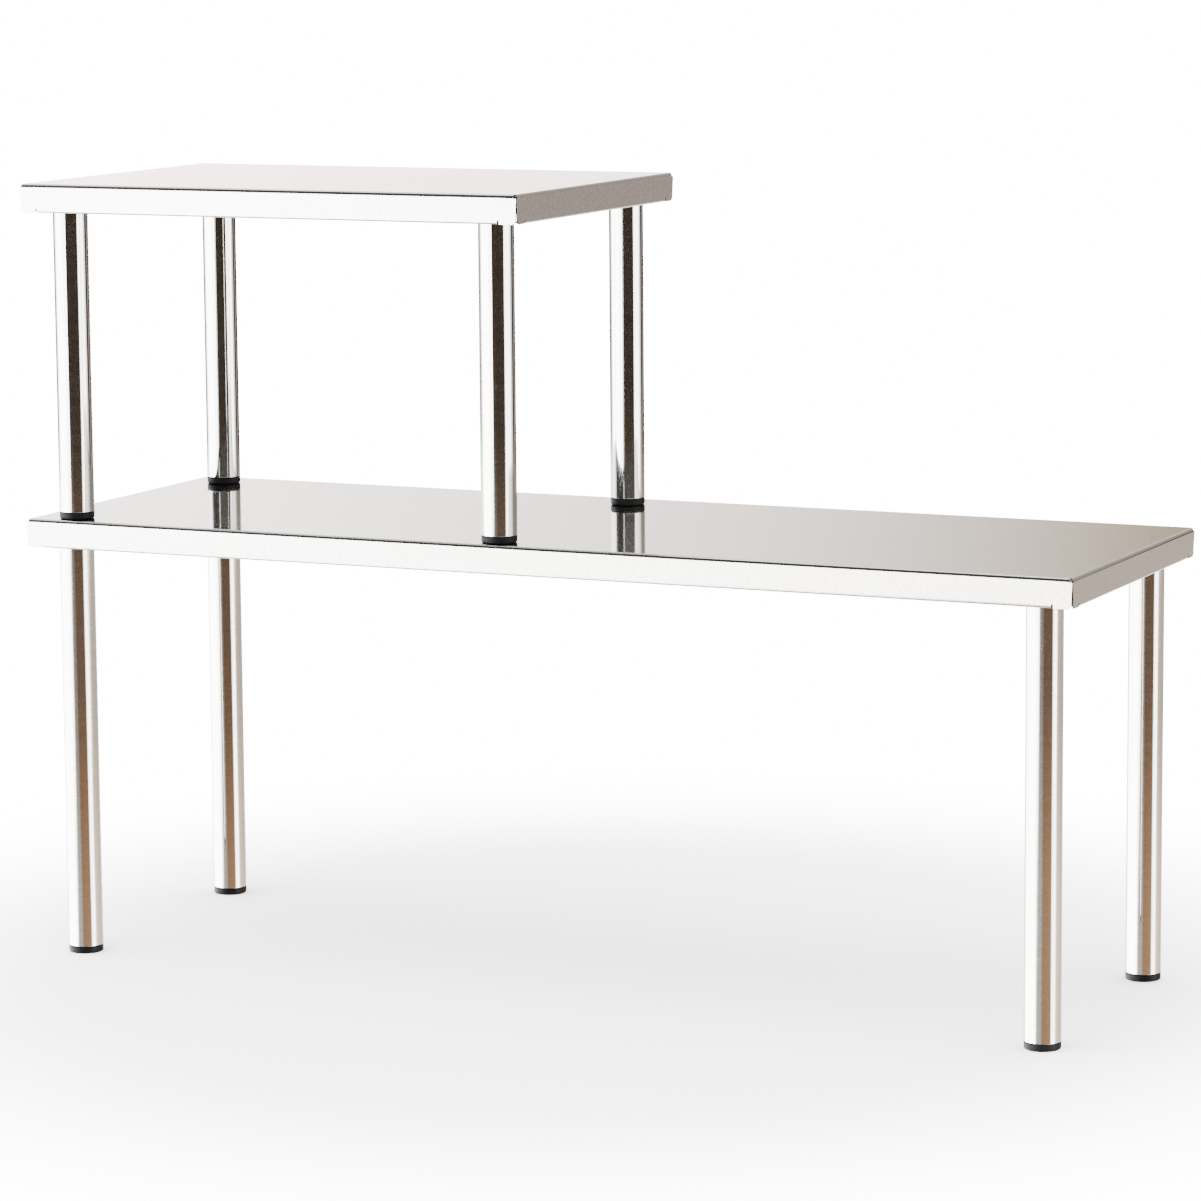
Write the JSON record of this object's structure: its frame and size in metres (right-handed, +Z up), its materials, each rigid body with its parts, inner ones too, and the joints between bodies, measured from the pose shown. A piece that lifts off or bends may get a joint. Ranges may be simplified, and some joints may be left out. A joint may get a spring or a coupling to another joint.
{
  "type": "tiered shelf riser",
  "caption": "Tiered kitchen shelf riser: folded stainless trays with turned-down rims on round tube legs, a short riser standing loose on one end of a long one.",
  "frame": {"origin": "on the floor, under the middle of the overall bounding box", "axes": "+X along the risers with the short riser at the -X end, +Y to the back, +Z up"},
  "size_m": [0.6, 0.2064, 0.426],
  "materials": {
    "tray_steel": "semi-bright polished stainless sheet",
    "tube_steel": "bright stainless tube, finely brushed along its length",
    "bracket_steel": "mill-finish stainless, spot-welded",
    "fastener_steel": "bright zinc plate",
    "foot_plastic": "moulded black plastic, fine satin",
    "plug_plastic": "moulded black plastic"
  },
  "bodies": {
    "lower_riser": {"lower_foot_back_left": "foot_plastic", "lower_foot_back_right": "foot_plastic", "lower_foot_front_left": "foot_plastic", "lower_foot_front_right": "foot_plastic", "lower_leg_bolt_back_left": "fastener_steel", "lower_leg_bolt_back_right": "fastener_steel", "lower_leg_bolt_front_left": "fastener_steel", "lower_leg_bolt_front_right": "fastener_steel", "lower_leg_bracket_back_left": "bracket_steel", "lower_leg_bracket_back_right": "bracket_steel", "lower_leg_bracket_front_left": "bracket_steel", "lower_leg_bracket_front_right": "bracket_steel", "lower_leg_nut_back_left": "fastener_steel", "lower_leg_nut_back_right": "fastener_steel", "lower_leg_nut_front_left": "fastener_steel", "lower_leg_nut_front_right": "fastener_steel", "lower_leg_plug_back_left": "plug_plastic", "lower_leg_plug_back_right": "plug_plastic", "lower_leg_plug_front_left": "plug_plastic", "lower_leg_plug_front_right": "plug_plastic", "lower_leg_tube_back_left": "tube_steel", "lower_leg_tube_back_right": "tube_steel", "lower_leg_tube_front_left": "tube_steel", "lower_leg_tube_front_right": "tube_steel", "lower_tray": "tray_steel"},
    "upper_riser": {"upper_foot_back_left": "foot_plastic", "upper_foot_back_right": "foot_plastic", "upper_foot_front_left": "foot_plastic", "upper_foot_front_right": "foot_plastic", "upper_leg_bolt_back_left": "fastener_steel", "upper_leg_bolt_back_right": "fastener_steel", "upper_leg_bolt_front_left": "fastener_steel", "upper_leg_bolt_front_right": "fastener_steel", "upper_leg_bracket_back_left": "bracket_steel", "upper_leg_bracket_back_right": "bracket_steel", "upper_leg_bracket_front_left": "bracket_steel", "upper_leg_bracket_front_right": "bracket_steel", "upper_leg_nut_back_left": "fastener_steel", "upper_leg_nut_back_right": "fastener_steel", "upper_leg_nut_front_left": "fastener_steel", "upper_leg_nut_front_right": "fastener_steel", "upper_leg_plug_back_left": "plug_plastic", "upper_leg_plug_back_right": "plug_plastic", "upper_leg_plug_front_left": "plug_plastic", "upper_leg_plug_front_right": "plug_plastic", "upper_leg_tube_back_left": "tube_steel", "upper_leg_tube_back_right": "tube_steel", "upper_leg_tube_front_left": "tube_steel", "upper_leg_tube_front_right": "tube_steel", "upper_tray": "tray_steel"}
  },
  "joints": [
    {"name": "upper_riser_lift", "type": "slide", "parent": "lower_riser", "child": "upper_riser", "axis": [0, 0, 1], "range_m": [0, 0.12]}
  ]
}
